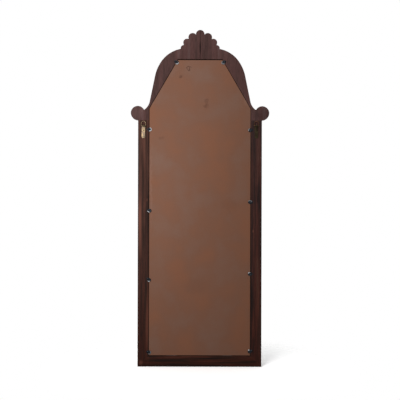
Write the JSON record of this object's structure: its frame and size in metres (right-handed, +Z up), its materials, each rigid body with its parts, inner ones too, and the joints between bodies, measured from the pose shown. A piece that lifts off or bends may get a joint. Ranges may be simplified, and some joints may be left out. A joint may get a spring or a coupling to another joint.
{
  "type": "carved wood wall mirror",
  "caption": "Tall arched carved wood wall mirror with a scalloped shell crest and round ears, a clipped-corner pane held by turn clips, and strap hangers with D-rings.",
  "frame": {"origin": "midway between the hook points inside the tops of the two hanger rings, in the plane of the frame's back", "axes": "+Z up along the stiles, +Y from the carved front to the back and the wall, +X to the right as seen from the front"},
  "size_m": [0.691, 0.0525, 1.681],
  "materials": {
    "dark_wood": "dark stained, worn",
    "raw_wood": "bare",
    "mirror": "polished",
    "foam": "matte foam sheet",
    "hardboard": "smooth hardboard",
    "rubber": "matte",
    "clip_steel": "dark, glossy",
    "screw_steel": "zinc plated",
    "brass": "brass plated",
    "ring_steel": "antique brass"
  },
  "bodies": {
    "frame": {"stile_left": "dark_wood", "stile_right": "dark_wood", "bottom_rail": "dark_wood", "shoulder_left": "dark_wood", "shoulder_right": "dark_wood", "shell_carving": "dark_wood", "rosette_left": "dark_wood", "rosette_right": "dark_wood", "corner_rosette_left": "dark_wood", "corner_rosette_right": "dark_wood", "leaf_spray_left": "dark_wood", "leaf_spray_right": "dark_wood", "husk_drop_left": "dark_wood", "husk_drop_right": "dark_wood", "rail_carving": "dark_wood", "sight_bead_left": "dark_wood", "sight_bead_right": "dark_wood", "sight_bead_bottom": "dark_wood", "sight_bead_arch_left": "dark_wood", "sight_bead_arch_right": "dark_wood", "crown_dowels": "raw_wood", "shoulder_dowels": "raw_wood", "mitre_splines": "raw_wood", "mirror_glass": "mirror", "cushion_sheet": "foam", "backing_board": "hardboard", "setting_blocks": "rubber", "clip_screws": "screw_steel", "hanger_screws": "screw_steel", "hanger_strap_left": "brass", "hanger_strap_right": "brass"},
    "clip_left_bottom": {"clip_left_bottom": "clip_steel"},
    "clip_left_lower": {"clip_left_lower": "clip_steel"},
    "clip_left_middle": {"clip_left_middle": "clip_steel"},
    "clip_left_upper": {"clip_left_upper": "clip_steel"},
    "clip_left_top": {"clip_left_top": "clip_steel"},
    "clip_right_bottom": {"clip_right_bottom": "clip_steel"},
    "clip_right_lower": {"clip_right_lower": "clip_steel"},
    "clip_right_middle": {"clip_right_middle": "clip_steel"},
    "clip_right_upper": {"clip_right_upper": "clip_steel"},
    "clip_right_top": {"clip_right_top": "clip_steel"},
    "hanger_ring_left": {"hanger_ring_left": "ring_steel"},
    "hanger_ring_right": {"hanger_ring_right": "ring_steel"}
  },
  "joints": [
    {"name": "clip_left_bottom_turn", "type": "hinge", "parent": "frame", "child": "clip_left_bottom", "pos_m": [-0.2585, 0.00095, -1.14205], "axis": [0, 1, 0], "continuous": true},
    {"name": "clip_left_lower_turn", "type": "hinge", "parent": "frame", "child": "clip_left_lower", "pos_m": [-0.2585, 0.00095, -0.75829], "axis": [0, 1, 0], "continuous": true},
    {"name": "clip_left_middle_turn", "type": "hinge", "parent": "frame", "child": "clip_left_middle", "pos_m": [-0.2585, 0.00095, -0.40036], "axis": [0, 1, 0], "continuous": true},
    {"name": "clip_left_upper_turn", "type": "hinge", "parent": "frame", "child": "clip_left_upper", "pos_m": [-0.2585, 0.00095, -0.03997], "axis": [0, 1, 0], "range_deg": [-110, 110]},
    {"name": "clip_left_top_turn", "type": "hinge", "parent": "frame", "child": "clip_left_top", "pos_m": [-0.12316, 0.00095, 0.30004], "axis": [0, 1, 0], "continuous": true},
    {"name": "clip_right_bottom_turn", "type": "hinge", "parent": "frame", "child": "clip_right_bottom", "pos_m": [0.2585, 0.00095, -1.1482], "axis": [0, 1, 0], "continuous": true},
    {"name": "clip_right_lower_turn", "type": "hinge", "parent": "frame", "child": "clip_right_lower", "pos_m": [0.2585, 0.00095, -0.78412], "axis": [0, 1, 0], "continuous": true},
    {"name": "clip_right_middle_turn", "type": "hinge", "parent": "frame", "child": "clip_right_middle", "pos_m": [0.2585, 0.00095, -0.44218], "axis": [0, 1, 0], "continuous": true},
    {"name": "clip_right_upper_turn", "type": "hinge", "parent": "frame", "child": "clip_right_upper", "pos_m": [0.2585, 0.00095, -0.03751], "axis": [0, 1, 0], "range_deg": [-110, 110]},
    {"name": "clip_right_top_turn", "type": "hinge", "parent": "frame", "child": "clip_right_top", "pos_m": [0.12316, 0.00095, 0.30004], "axis": [0, 1, 0], "continuous": true},
    {"name": "hanger_ring_left_swing", "type": "hinge", "parent": "frame", "child": "hanger_ring_left", "pos_m": [-0.28175, 0.00375, -0.02], "axis": [-1, 0, 0], "range_deg": [0, 173]},
    {"name": "hanger_ring_right_swing", "type": "hinge", "parent": "frame", "child": "hanger_ring_right", "pos_m": [0.28175, 0.00375, -0.02], "axis": [-1, 0, 0], "range_deg": [0, 173]}
  ]
}
